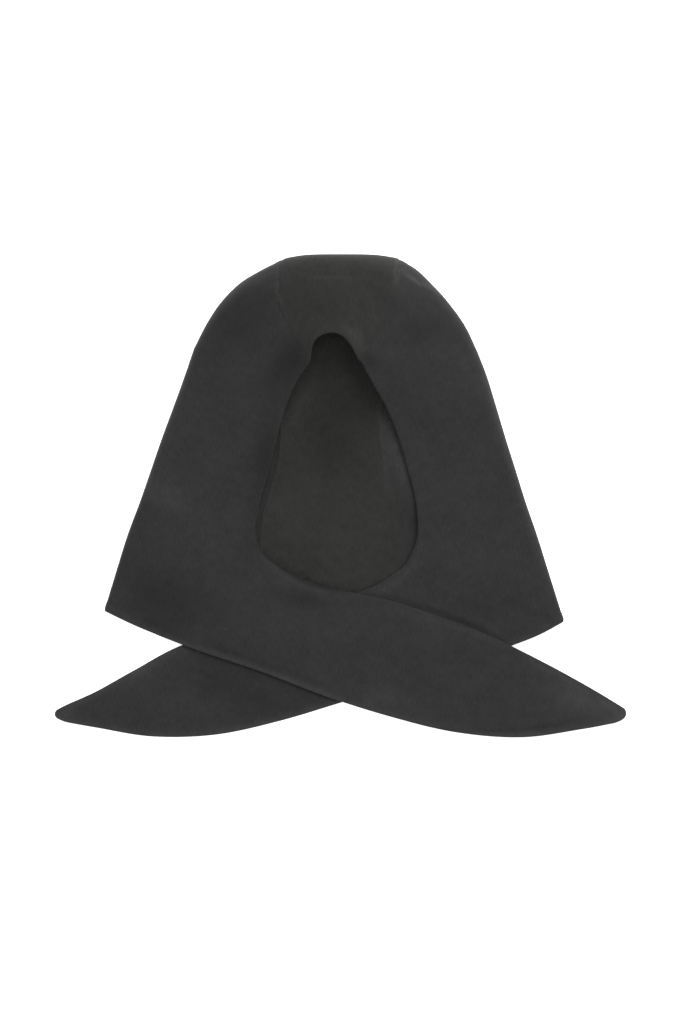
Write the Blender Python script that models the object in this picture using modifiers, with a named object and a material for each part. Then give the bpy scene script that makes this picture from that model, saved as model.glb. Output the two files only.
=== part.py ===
# Wool hood with two scarf tails, laid flat on its back, front side up.
# Metres, +Z up. +X is the image's right, +Y points to the crown, the surface is Z = 0.
import bpy
import math
from collections import namedtuple

import numpy as np
from mathutils import Vector
from mathutils.bvhtree import BVHTree

# Driving dimensions
HEM_HALF = 0.217            # half of the width from hem corner to hem corner
BODY_LENGTH = 0.340         # crown fold to the level of the hem
CROWN_HEIGHT = 0.046        # outer top of the crown above the surface
NOSE_RADIUS = 0.018         # round of the crown, where the gusset turns to the back
WALL = 0.0026               # two layers of wool cloth, bagged out
FOREHEAD_RISE = 0.027       # depth of the arched forehead edge
CROWN_BOW = 0.0055          # how far the crown's top line bows past its seams
GUSSET_SWELL = 0.0010       # how far the gusset swells between its seams
TOP_TAIL_REACH = 0.4940     # hem corner to tip of the upper tail, across
TOP_TAIL_DROP = 0.097       # hem corner to tip of the upper tail, down
UNDER_TAIL_REACH = 0.4830   # the same for the lower tail
UNDER_TAIL_DROP = 0.088
SEAM_GAP = 0.0005           # clear space between two pieces at a seam
LAYER_GAP = 0.0006          # clear space between two layers that lie on each other
TAIL_SAG = 0.00010          # how fast a tail sinks between the layers that carry it

# Mesh steps
CROWN_STEPS = 9             # sections from the crown fold to the forehead corner
FACE_STEPS = 15             # sections from the forehead corner to the hem
FOLD_STEPS = 3              # steps round each quarter of a side fold
FLAT_STEPS = 7              # steps across the rest of a section, front and back
TAIL_STEPS = 26             # sections along a tail
ROOT_STEPS = 6              # sections over which a tail's columns even out
GUSSET_STEPS = 8            # steps across the gusset
RING_STEPS = 8              # directions in which a tail feels for what carries it
SETTLE_ROUNDS = 400         # rounds of the tails' settling
SLOPE_POWER = 2.2           # how late the front falls away from its edge to the side fold

MIDDLE = WALL / 2           # height of the middle of a wall that lies on the surface

# One cut across a side panel: its front edge, its side fold and its back seam.
# out: from the middle line, a share of HEM_HALF. down: from the crown, a share of BODY_LENGTH.
# high: the outer height of the edge, a share of CROWN_HEIGHT. round: a share of NOSE_RADIUS.
Section = namedtuple(
    "Section", "edge_out edge_down edge_high fold_out fold_down fold_round seam_out seam_down"
)

LEFT_CROWN = [
    Section(0.266, 0.124, 0.96, 0.246, 0.015, 1.00, 0.250, 0.124),
    Section(0.265, 0.141, 0.96, 0.338, 0.043, 0.86, 0.250, 0.175),
    Section(0.254, 0.161, 0.96, 0.434, 0.080, 0.71, 0.250, 0.222),
    Section(0.236, 0.188, 0.96, 0.517, 0.133, 0.58, 0.250, 0.281),
    Section(0.197, 0.236, 0.96, 0.579, 0.192, 0.47, 0.252, 0.340),
    Section(0.127, 0.300, 0.92, 0.636, 0.263, 0.39, 0.254, 0.398),
]
LEFT_FACE = [
    LEFT_CROWN[-1],
    Section(0.184, 0.351, 0.80, 0.678, 0.342, 0.36, 0.254, 0.460),
    Section(0.236, 0.426, 0.63, 0.724, 0.423, 0.34, 0.258, 0.518),
    Section(0.271, 0.504, 0.47, 0.776, 0.513, 0.33, 0.267, 0.577),
    Section(0.303, 0.588, 0.36, 0.824, 0.602, 0.31, 0.298, 0.650),
    Section(0.341, 0.672, 0.30, 0.873, 0.692, 0.29, 0.333, 0.725),
    Section(0.363, 0.733, 0.27, 0.925, 0.781, 0.28, 0.346, 0.809),
    Section(0.368, 0.767, 0.25, 0.973, 0.879, 0.26, 0.350, 0.921),
    Section(0.362, 0.797, 0.24, 1.026, 0.991, 0.23, 0.350, 1.066),
]
RIGHT_CROWN = [
    Section(0.230, 0.124, 0.96, 0.261, 0.015, 1.00, 0.241, 0.124),
    Section(0.219, 0.144, 0.96, 0.336, 0.043, 0.86, 0.236, 0.175),
    Section(0.203, 0.166, 0.96, 0.410, 0.088, 0.71, 0.228, 0.222),
    Section(0.179, 0.197, 0.96, 0.480, 0.138, 0.58, 0.217, 0.281),
    Section(0.140, 0.244, 0.96, 0.549, 0.200, 0.47, 0.201, 0.340),
    Section(0.096, 0.302, 0.92, 0.603, 0.272, 0.39, 0.188, 0.398),
]
RIGHT_FACE = [
    RIGHT_CROWN[-1],
    Section(0.136, 0.351, 0.77, 0.645, 0.342, 0.36, 0.184, 0.460),
    Section(0.201, 0.423, 0.56, 0.684, 0.423, 0.34, 0.197, 0.518),
    Section(0.254, 0.504, 0.39, 0.726, 0.513, 0.33, 0.206, 0.577),
    Section(0.293, 0.588, 0.30, 0.770, 0.602, 0.31, 0.219, 0.650),
    Section(0.328, 0.675, 0.26, 0.814, 0.692, 0.29, 0.232, 0.725),
    Section(0.341, 0.739, 0.24, 0.862, 0.781, 0.28, 0.245, 0.809),
    Section(0.341, 0.778, 0.24, 0.914, 0.887, 0.26, 0.258, 0.921),
    Section(0.328, 0.814, 0.24, 0.980, 1.021, 0.23, 0.271, 1.074),
]

# One cut across a tail. Each long edge runs from its root to the tip:
# the upper one from the face opening, the lower one from the hem corner.
# across and down are shares of that edge's own way from root to tip.
TailSection = namedtuple("TailSection", "upper_across upper_down lower_across lower_down")

TOP_TAIL = [
    TailSection(0.000, 0.000, 0.000, 0.000),
    TailSection(0.027, 0.099, 0.058, 0.147),
    TailSection(0.090, 0.190, 0.110, 0.265),
    TailSection(0.190, 0.272, 0.190, 0.417),
    TailSection(0.341, 0.337, 0.302, 0.608),
    TailSection(0.488, 0.436, 0.420, 0.838),
    TailSection(0.634, 0.558, 0.544, 1.038),
    TailSection(0.773, 0.705, 0.670, 1.190),
    TailSection(0.888, 0.840, 0.798, 1.240),
    TailSection(0.966, 0.940, 0.915, 1.162),
    TailSection(0.997, 0.982, 0.984, 1.096),
]
UNDER_TAIL = [
    TailSection(0.000, 0.000, 0.000, 0.000),
    TailSection(0.031, 0.119, 0.053, 0.160),
    TailSection(0.100, 0.222, 0.115, 0.300),
    TailSection(0.200, 0.305, 0.205, 0.475),
    TailSection(0.345, 0.402, 0.315, 0.683),
    TailSection(0.495, 0.497, 0.430, 0.873),
    TailSection(0.651, 0.595, 0.555, 1.078),
    TailSection(0.775, 0.738, 0.680, 1.225),
    TailSection(0.882, 0.867, 0.805, 1.245),
    TailSection(0.962, 0.945, 0.915, 1.150),
    TailSection(0.997, 0.985, 0.982, 1.085),
]

# The forehead edge between the two front seams: across from the left seam, and up.
ArchPoint = namedtuple("ArchPoint", "across up")
FOREHEAD_ARCH = [
    ArchPoint(0.00, 0.00),
    ArchPoint(0.04, 0.60),
    ArchPoint(0.17, 0.93),
    ArchPoint(0.38, 1.00),
    ArchPoint(0.62, 0.80),
    ArchPoint(0.80, 0.40),
    ArchPoint(0.92, 0.08),
    ArchPoint(1.00, 0.00),
]


def smooth_row(rows, share):
    """The values at a share of a table's length, on a smooth curve through its rows."""
    last = len(rows) - 1
    place = share * last
    start = min(int(place), last - 1)
    part = place - start
    before, here, there, after = (
        np.array(rows[min(max(start + step, 0), last)]) for step in (-1, 0, 1, 2)
    )
    leave = (there - before) / 2
    arrive = (after - here) / 2
    if start == 0:
        leave = there - here
    if start == last - 1:
        arrive = there - here
    return (
        here * (2 * part**3 - 3 * part**2 + 1)
        + leave * (part**3 - 2 * part**2 + part)
        + there * (3 * part**2 - 2 * part**3)
        + arrive * (part**3 - part**2)
    )


def plan_point(sign, out, down):
    return np.array((sign * out * HEM_HALF, -down * BODY_LENGTH))


def section_values(crown, face):
    """All the cuts across a side panel, from the crown fold to the hem."""
    values = [smooth_row(crown, step / CROWN_STEPS) for step in range(CROWN_STEPS)]
    values += [smooth_row(face, step / FACE_STEPS) for step in range(FACE_STEPS + 1)]
    return [Section(*row) for row in values]


def across(sign, section):
    """Points of one cut: from the front edge over the side fold to the back seam."""
    edge = plan_point(sign, section.edge_out, section.edge_down)
    seam = plan_point(sign, section.seam_out, section.seam_down)
    fold = plan_point(sign, section.fold_out, section.fold_down)
    inward = (edge + seam) / 2 - fold
    fold = fold + inward / np.linalg.norm(inward) * MIDDLE
    front_length = np.linalg.norm(edge - fold)
    back_length = np.linalg.norm(seam - fold)
    bend = min(section.fold_round * NOSE_RADIUS, front_length, back_length)
    centre = MIDDLE + bend
    rise = section.edge_high * CROWN_HEIGHT - MIDDLE - centre - bend
    turns = [math.pi / 2 * step / FOLD_STEPS for step in range(FOLD_STEPS)]
    front = []
    back = []
    for turn in turns:
        away = bend * (1 - math.cos(turn))
        front.append((away, centre + bend * math.sin(turn)))
        back.append((away, centre - bend * math.sin(turn)))
    for step in range(FLAT_STEPS + 1):
        part = step / FLAT_STEPS
        front.append((bend + (front_length - bend) * part, centre + bend))
        back.append((bend + (back_length - bend) * part, MIDDLE))
    points = []
    for away, high in reversed(front):
        share = min(1.0, away / front_length)
        place = fold + (edge - fold) * share
        points.append((*place, high + rise * (1 - (1 - share) ** SLOPE_POWER)))
    for away, high in back[1:]:
        place = fold + (seam - fold) * (away / back_length)
        points.append((*place, high))
    return points


FRONT_COUNT = FOLD_STEPS + FLAT_STEPS    # steps from the front edge to the side fold


class BackLayer:
    """The hood's flat back, which the tails lie on down to its hem."""

    def __init__(self, hem):
        self.hem_x = [point[0] for point in hem]
        self.hem_y = [point[1] for point in hem]

    def top(self, x, y):
        inside = self.hem_x[0] <= x <= self.hem_x[-1]
        if inside and y >= np.interp(x, self.hem_x, self.hem_y):
            return WALL
        return 0.0


def support_height(x, y, reach, back_layer, laid):
    """Top of what lies under a point and within reach round it."""
    high = 0.0
    spots = [(0.0, 0.0)]
    for turn in range(RING_STEPS):
        angle = 2 * math.pi * turn / RING_STEPS
        spots.append((reach * math.cos(angle), reach * math.sin(angle)))
        spots.append((reach / 2 * math.cos(angle), reach / 2 * math.sin(angle)))
    for offset_x, offset_y in spots:
        high = max(high, back_layer.top(x + offset_x, y + offset_y))
        for tree in laid:
            hit = tree.ray_cast(Vector((x + offset_x, y + offset_y, 1.0)), Vector((0, 0, -1)))
            if hit[0] is not None:
                high = max(high, hit[0].z)
    return high


def tail_points(sign, reach, drop, table, last_cut, back_layer, laid):
    """Rows of a tail after its root, which is the front half of the panel's last cut."""
    root = np.array(last_cut[:FRONT_COUNT + 1])
    upper_root = root[0][:2]
    lower_root = root[-1][:2]
    tip = lower_root + np.array((-sign * reach, -drop))
    root_shares = np.linalg.norm(root[:, :2] - upper_root, axis=1)
    root_shares = root_shares / root_shares[-1]
    even_shares = np.linspace(0, 1, FRONT_COUNT + 1)
    plan = [root[:, :2]]
    for step in range(1, TAIL_STEPS + 1):
        cut = TailSection(*smooth_row(table, step / TAIL_STEPS))
        upper = upper_root + (tip - upper_root) * (cut.upper_across, cut.upper_down)
        lower = lower_root + (tip - lower_root) * (cut.lower_across, cut.lower_down)
        evenness = min(1.0, step / ROOT_STEPS)
        shares = root_shares * (1 - evenness) + even_shares * evenness
        plan.append(upper + (lower - upper) * shares[:, None])
    plan = np.array(plan)
    row_step = np.linalg.norm(tip - lower_root) / TAIL_STEPS
    lowest = np.empty(plan.shape[:2])
    for row in range(TAIL_STEPS + 1):
        for column in range(FRONT_COUNT + 1):
            x, y = plan[row][column]
            high = support_height(x, y, row_step, back_layer, laid)
            lowest[row][column] = high + LAYER_GAP + MIDDLE if high > 0 else MIDDLE
    heights = settle(root[:, 2], lowest)
    return [
        [(*plan[row][column], heights[row][column]) for column in range(FRONT_COUNT + 1)]
        for row in range(1, TAIL_STEPS + 1)
    ]


def settle(root_heights, lowest):
    """Heights of a cloth held at its root and lying on the lowest heights it can take."""
    heights = np.maximum(lowest, root_heights.mean())
    heights[0] = root_heights
    for _ in range(SETTLE_ROUNDS):
        padded = np.pad(heights, 1, mode="edge")
        mean = (padded[:-2, 1:-1] + padded[2:, 1:-1] + padded[1:-1, :-2] + padded[1:-1, 2:]) / 4
        heights = np.maximum(mean - TAIL_SAG, lowest)
        heights[0] = root_heights
    return heights


def wool(name, colour):
    material = bpy.data.materials.new(name)
    material.use_nodes = True
    shader = material.node_tree.nodes["Principled BSDF"]
    shader.inputs["Base Color"].default_value = (*colour, 1.0)
    shader.inputs["Roughness"].default_value = 0.95
    shader.inputs["Metallic"].default_value = 0.0
    return material


def cloth_object(name, rows, material, collection, parent, tail=()):
    """A cloth wall through rows of points. A tail's rows go on from the last row's first points."""
    width = len(rows[0])
    points = [point for row in rows for point in row]
    faces = []
    for row in range(len(rows) - 1):
        for column in range(width - 1):
            start = row * width + column
            faces.append((start, start + 1, start + width + 1, start + width))
    above = [(len(rows) - 1) * width + column for column in range(FRONT_COUNT + 1)]
    for row in tail:
        below = [len(points) + column for column in range(len(row))]
        points += row
        for column in range(len(row) - 1):
            faces.append((above[column], above[column + 1], below[column + 1], below[column]))
        above = below
    mesh = bpy.data.meshes.new(name)
    mesh.from_pydata([Vector(point) for point in points], [], faces)
    mesh.shade_smooth()
    mesh.materials.append(material)
    cloth = bpy.data.objects.new(name, mesh)
    cloth.parent = parent
    collection.objects.link(cloth)
    wall = cloth.modifiers.new("Wall", "SOLIDIFY")
    wall.thickness = WALL
    wall.offset = 0.0
    return cloth


def seam_points(cuts):
    """A panel's seam with the gusset: forehead corner, crown fold, and down the back to the hem."""
    front = [cut[0] for cut in reversed(cuts[1:CROWN_STEPS + 1])] + cuts[0][:FLAT_STEPS + 1]
    fold = cuts[0][FLAT_STEPS + 1:]
    back = [cut[-1] for cut in cuts[1:]]
    return front, fold + back


def seam_height(front, y):
    return np.interp(y, [point[1] for point in front], [point[2] for point in front])


def gusset_rows(left_cuts, right_cuts):
    """Cuts across the gusset from the forehead edge over the crown to the hem."""
    left_front, left_rest = seam_points(left_cuts)
    right_front, right_rest = seam_points(right_cuts)
    forehead_y = min(left_front[0][1], right_front[0][1])
    fold_high = left_cuts[0][FRONT_COUNT][2]
    top_high = left_front[-1][2]
    arch_across = [point.across for point in FOREHEAD_ARCH]
    arch_up = [point.up for point in FOREHEAD_ARCH]
    pairs = list(zip(left_front + left_rest, right_front + right_rest))
    rows = []
    for number, (left, right) in enumerate(pairs):
        start = Vector(left) + Vector((SEAM_GAP, 0, 0))
        end = Vector(right) - Vector((SEAM_GAP, 0, 0))
        in_front = number < len(left_front)
        near_forehead = min(1.0, (start.y + end.y) / 2 / forehead_y)
        near_crown = max(0.0, 1 - near_forehead)
        swell = near_crown * min(1.0, max(0.0, (start.z - fold_high) / (top_high - fold_high)))
        row = []
        for step in range(GUSSET_STEPS + 1):
            share = step / GUSSET_STEPS
            curve = 1 - (2 * share - 1) ** 4
            point = start.lerp(end, share)
            if in_front:
                point.y += FOREHEAD_RISE * near_forehead * np.interp(share, arch_across, arch_up)
                left_high = seam_height(left_front, point.y)
                right_high = seam_height(right_front, point.y)
                point.z = left_high + (right_high - left_high) * share
            point.y += CROWN_BOW * near_crown * curve
            point.z += GUSSET_SWELL * swell * curve
            row.append(tuple(point))
        rows.append(row)
    return rows


def main():
    for old in list(bpy.data.objects):
        bpy.data.objects.remove(old)
    collection = bpy.data.collections.new("wool_hood")
    bpy.context.scene.collection.children.link(collection)
    hood = bpy.data.objects.new("wool_hood", None)
    collection.objects.link(hood)

    panel_wool = wool("Charcoal wool", (0.036, 0.036, 0.035))
    gusset_wool = wool("Charcoal wool gusset", (0.038, 0.036, 0.034))

    left_cuts = [across(-1, section) for section in section_values(LEFT_CROWN, LEFT_FACE)]
    right_cuts = [across(1, section) for section in section_values(RIGHT_CROWN, RIGHT_FACE)]
    left_hem = left_cuts[-1][FRONT_COUNT:]
    right_hem = right_cuts[-1][FRONT_COUNT:]
    back_layer = BackLayer([left_hem[0], left_hem[-1], right_hem[-1], right_hem[0]])

    under_tail = tail_points(
        1, UNDER_TAIL_REACH, UNDER_TAIL_DROP, UNDER_TAIL, right_cuts[-1], back_layer, []
    )
    right_panel = cloth_object("right_panel", right_cuts, panel_wool, collection, hood, under_tail)
    bpy.context.view_layer.update()
    laid = BVHTree.FromObject(right_panel, bpy.context.evaluated_depsgraph_get())
    top_tail = tail_points(
        -1, TOP_TAIL_REACH, TOP_TAIL_DROP, TOP_TAIL, left_cuts[-1], back_layer, [laid]
    )
    left_panel = cloth_object("left_panel", left_cuts, panel_wool, collection, hood, top_tail)
    gusset = cloth_object(
        "gusset", gusset_rows(left_cuts, right_cuts), gusset_wool, collection, hood
    )

    # The hood's origin is the middle of its outline on the surface
    bpy.context.view_layer.update()
    corners = []
    for cloth in (left_panel, right_panel, gusset):
        shape = cloth.evaluated_get(bpy.context.evaluated_depsgraph_get())
        corners += [Vector(corner) for corner in shape.bound_box]
    for axis in (0, 1):
        values = [corner[axis] for corner in corners]
        hood.location[axis] = -(min(values) + max(values)) / 2


main()
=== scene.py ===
import math

import bmesh
import bpy
import numpy as np
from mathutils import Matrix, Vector, noise
from mathutils.bvhtree import BVHTree


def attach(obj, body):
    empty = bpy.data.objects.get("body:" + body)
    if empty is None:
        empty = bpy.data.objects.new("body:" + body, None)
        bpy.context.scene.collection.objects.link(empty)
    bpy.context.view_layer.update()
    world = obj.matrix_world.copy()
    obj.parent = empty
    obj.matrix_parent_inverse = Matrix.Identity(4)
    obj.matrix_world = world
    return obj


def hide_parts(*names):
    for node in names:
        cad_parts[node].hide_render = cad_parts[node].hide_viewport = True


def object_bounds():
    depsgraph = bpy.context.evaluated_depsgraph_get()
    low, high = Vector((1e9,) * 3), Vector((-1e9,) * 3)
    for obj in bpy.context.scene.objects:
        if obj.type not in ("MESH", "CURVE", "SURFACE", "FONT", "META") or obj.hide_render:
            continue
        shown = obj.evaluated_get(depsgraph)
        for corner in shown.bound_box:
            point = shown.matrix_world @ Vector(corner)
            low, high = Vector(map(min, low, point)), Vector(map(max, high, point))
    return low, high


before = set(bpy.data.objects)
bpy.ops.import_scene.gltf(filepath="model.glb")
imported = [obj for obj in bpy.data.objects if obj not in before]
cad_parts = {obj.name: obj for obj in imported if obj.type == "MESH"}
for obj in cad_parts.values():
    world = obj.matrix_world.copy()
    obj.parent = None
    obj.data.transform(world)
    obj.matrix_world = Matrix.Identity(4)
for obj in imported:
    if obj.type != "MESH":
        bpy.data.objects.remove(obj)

for thing in list(bpy.context.selected_objects):
    thing.select_set(False)
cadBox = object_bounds()
print("frame loaded, outline", [round(side, 4) for side in cadBox[1] - cadBox[0]])

# Sizes of the hood in metres, the same as the solids'. The cut lies with its crown line on y = 0
hood = {
    "hemHalf": 0.217,          # half of the width between the hem corners
    "bodyLength": 0.340,       # crown fold to hem
    "crownHeight": 0.046,
    "noseRadius": 0.018,       # round of the crown, where the gusset turns to the back
    "wall": 0.0026,            # two layers of wool, bagged out
    "foreheadRise": 0.027,
    "crownBow": 0.0055,
    "gussetSwell": 0.0010,
    "slopePower": 2.2,         # how late the front falls from its edge to the side fold
    "tailEnd": 0.1,            # width that a tail's very end keeps, as a share
    "metresPerPixel": 0.00095,     # of the photo
    "crownPixel": 255.4,       # image row of the crown line
    "middlePixel": 340.0,      # image column of the middle line
}

# Cuts across a side panel. Edge, fold and back seam as shares out and down, with the edge's height
# as a share of the crown's and the fold's round as a share of the nose's:
# edgeOut, edgeDown, edgeHigh, foldOut, foldDown, foldRound, seamOut, seamDown
leftCrown = [
    (0.266, 0.124, 0.96, 0.246, 0.015, 1.00, 0.250, 0.124),
    (0.265, 0.141, 0.96, 0.338, 0.043, 0.86, 0.250, 0.175),
    (0.254, 0.161, 0.96, 0.434, 0.080, 0.71, 0.250, 0.222),
    (0.236, 0.188, 0.96, 0.517, 0.133, 0.58, 0.250, 0.281),
    (0.197, 0.236, 0.96, 0.579, 0.192, 0.47, 0.252, 0.340),
    (0.127, 0.300, 0.92, 0.636, 0.263, 0.39, 0.254, 0.398),
]
leftFace = [
    leftCrown[-1],
    (0.184, 0.351, 0.80, 0.678, 0.342, 0.36, 0.254, 0.460),
    (0.236, 0.426, 0.63, 0.724, 0.423, 0.34, 0.258, 0.518),
    (0.271, 0.504, 0.47, 0.776, 0.513, 0.33, 0.267, 0.577),
    (0.303, 0.588, 0.36, 0.824, 0.602, 0.31, 0.298, 0.650),
    (0.341, 0.672, 0.30, 0.873, 0.692, 0.29, 0.333, 0.725),
    (0.363, 0.733, 0.27, 0.925, 0.781, 0.28, 0.346, 0.809),
    (0.368, 0.767, 0.25, 0.973, 0.879, 0.26, 0.350, 0.921),
    (0.362, 0.797, 0.24, 1.026, 0.991, 0.23, 0.350, 1.066),
]
rightCrown = [
    (0.230, 0.124, 0.96, 0.261, 0.015, 1.00, 0.241, 0.124),
    (0.219, 0.144, 0.96, 0.336, 0.043, 0.86, 0.236, 0.175),
    (0.203, 0.166, 0.96, 0.410, 0.088, 0.71, 0.228, 0.222),
    (0.179, 0.197, 0.96, 0.480, 0.138, 0.58, 0.217, 0.281),
    (0.140, 0.244, 0.96, 0.549, 0.200, 0.47, 0.201, 0.340),
    (0.096, 0.302, 0.92, 0.603, 0.272, 0.39, 0.188, 0.398),
]
rightFace = [
    rightCrown[-1],
    (0.136, 0.351, 0.77, 0.645, 0.342, 0.36, 0.184, 0.460),
    (0.201, 0.423, 0.56, 0.684, 0.423, 0.34, 0.197, 0.518),
    (0.254, 0.504, 0.39, 0.726, 0.513, 0.33, 0.206, 0.577),
    (0.293, 0.588, 0.30, 0.770, 0.602, 0.31, 0.219, 0.650),
    (0.328, 0.675, 0.26, 0.814, 0.692, 0.29, 0.232, 0.725),
    (0.341, 0.739, 0.24, 0.862, 0.781, 0.28, 0.245, 0.809),
    (0.341, 0.778, 0.24, 0.914, 0.887, 0.26, 0.258, 0.921),
    (0.328, 0.814, 0.24, 0.980, 1.021, 0.23, 0.271, 1.074),
]

# Cuts across a tail, each long edge as shares of its own way from root to tip:
# upperAcross, upperDown, lowerAcross, lowerDown
topTail = {
    "reach": 0.4940,
    "drop": 0.097,
    "tipRound": 0.015,
    "tipReach": 0.0028,
    "cuts": [
        (0.000, 0.000, 0.000, 0.000),
        (0.027, 0.099, 0.058, 0.147),
        (0.090, 0.190, 0.110, 0.265),
        (0.190, 0.272, 0.190, 0.417),
        (0.341, 0.337, 0.302, 0.608),
        (0.488, 0.436, 0.420, 0.838),
        (0.634, 0.558, 0.544, 1.038),
        (0.773, 0.705, 0.670, 1.190),
        (0.888, 0.840, 0.798, 1.240),
        (0.966, 0.940, 0.915, 1.162),
        (0.997, 0.982, 0.984, 1.096),
    ],
}
underTail = {
    "reach": 0.4830,
    "drop": 0.088,
    "tipRound": 0.016,
    "tipReach": 0.0022,
    "cuts": [
        (0.000, 0.000, 0.000, 0.000),
        (0.031, 0.119, 0.053, 0.160),
        (0.100, 0.222, 0.115, 0.300),
        (0.200, 0.305, 0.205, 0.475),
        (0.345, 0.402, 0.315, 0.683),
        (0.495, 0.497, 0.430, 0.873),
        (0.651, 0.595, 0.555, 1.078),
        (0.775, 0.738, 0.680, 1.225),
        (0.882, 0.867, 0.805, 1.245),
        (0.962, 0.945, 0.915, 1.150),
        (0.997, 0.985, 0.982, 1.085),
    ],
}

# The forehead edge between the front seams: share across from the left seam, share of the rise
foreheadArch = [
    (0.000, 0.00), (0.015, 0.20), (0.030, 0.42), (0.060, 0.64), (0.110, 0.77), (0.173, 0.87),
    (0.250, 0.95), (0.330, 0.99), (0.430, 1.01), (0.520, 0.99), (0.610, 0.92), (0.690, 0.81),
    (0.750, 0.68), (0.810, 0.52), (0.860, 0.35), (0.900, 0.20), (0.950, 0.06), (1.000, 0.00),
]

farAway = 1.0      # metres, more than any point of the cloth lies from an edge

# How finely each piece is drawn. Distances from an edge and lengths of a run are in millimetres
mesh = {
    "edgeSteps": [0, 0.12, 0.35, 0.7, 1.1, 1.6, 2.3, 3.1, 4.0, 5.0, 6.1, 7.3, 8.6, 10.0],
    "lowEdgeSteps": [0, 0.12, 0.35, 0.7, 1.1, 1.7, 2.6, 3.8, 5.2, 7.0],
    "flatColumns": 26,         # front columns between the edge's and the round of the fold
    "backColumns": 20,
    "edgeShare": 0.7,          # most of a flat part that its fine edge steps may take
    "evenGap": 0.4,            # least share of an even step that is left beside the fine ones
    "crownRows": 62,
    "crownRun": 95,
    "faceRows": 64,
    "faceRun": 360,
    "tailRows": 130,
    "tailRun": 500,
    "tailEvenRows": 18,        # rows over which a tail's columns even out
    "fullTail": 0.030,         # width in metres from which a tail's edge steps have their full size
    "gussetColumns": 16,
    "archPoints": 200,
    "mergeGap": 2e-6,          # metres
    "shortEdge": 1e-6,
}

# Soft rises and dents of the front by photo place: column, row, half length and half width in pixels,
# turn in degrees from the image's right towards its top, lift in millimetres
frontForms = [
    (334, 322, 72, 36, 90, 3.2),
    (284, 462, 58, 24, 80, 1.8),
    (168, 508, 30, 11, -38, 0.9),
    (408, 340, 42, 24, 20, -1.5),
    (188, 562, 62, 40, -30, 1.8),
    (455, 560, 60, 34, 30, 1.4),
    (240, 385, 60, 30, 62, -1.0),
    (470, 455, 70, 26, -72, 1.0),
]

# Painted shade and painted light: soft patches of the same kind, darker where shade falls and lighter
# where light falls, as a share of the wool's tone
paintedLightAndShadePatches = [
    (293, 361, 32, 19, 65, -0.54),
    (265, 464, 48, 13, 82, -0.42),
    (163, 598, 60, 30, -26, -0.33),
    (425, 332, 34, 18, 10, -0.24),
    (236, 318, 46, 30, 60, -0.36),
    (353, 338, 18, 9, -60, 0.18),
    (585, 702, 48, 15, -28, 0.52),
    (148, 662, 46, 12, 29, 0.62),
    (172, 500, 30, 12, -38, 0.24),
    (165, 445, 44, 18, 72, 0.14),
    (240, 690, 60, 16, -22, -0.26),
    (302, 599, 26, 9, -10, -0.34),
    (380, 697, 32, 12, -15, 0.26),
    (320, 262, 36, 9, 0, -0.20),
    (392, 268, 16, 12, 0, 0.26),
    (412, 284, 22, 12, -35, 0.16),
    (619, 712, 12, 9, 0, 0.50),
    (62, 714, 12, 9, 0, 0.40),
    (369, 360, 9, 7, 0, -0.36),
    (118, 592, 16, 12, 0, 0.28),
    (187, 640, 13, 7, -20, -0.26),
    (492, 612, 22, 10, -20, -0.16),
    (306, 308, 38, 14, 0, -0.20),
]

# The same painted shade and painted light for the inside of the back, seen through the face opening
insidePaintedLightAndShadePatches = [
    (335, 424, 60, 36, 90, -0.40),
    (346, 372, 24, 14, 90, 0.26),
    (332, 343, 22, 14, 0, 1.20),
    (298, 405, 30, 9, 66, 0.40),
    (300, 558, 26, 14, -30, -0.20),
    (384, 562, 24, 12, 70, -0.16),
]

# Narrow welts of the same kind, which only the outer face shows
welts = [
    (417, 282, 27, 3.2, -36, 0.9),
    (424, 277, 24, 2.6, -36, -0.7),
    (274, 270, 14, 2.6, 24, 0.5),
    (270, 266, 12, 2.2, 24, -0.6),
    (395, 272, 12, 2.0, 86, 0.45),
    (283, 308, 13, 2.4, -66, 0.22),
]

# Lines that more than one crease follows
leftCrownSeam = [(280, 256), (279, 272), (279, 294), (287, 320)]
rightCrownRidge = [(392, 267), (408, 279), (418, 286), (429, 291), (452, 306)]
rightBackSeam = [(378, 402), (383, 440), (387, 475), (391, 512)]
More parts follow.
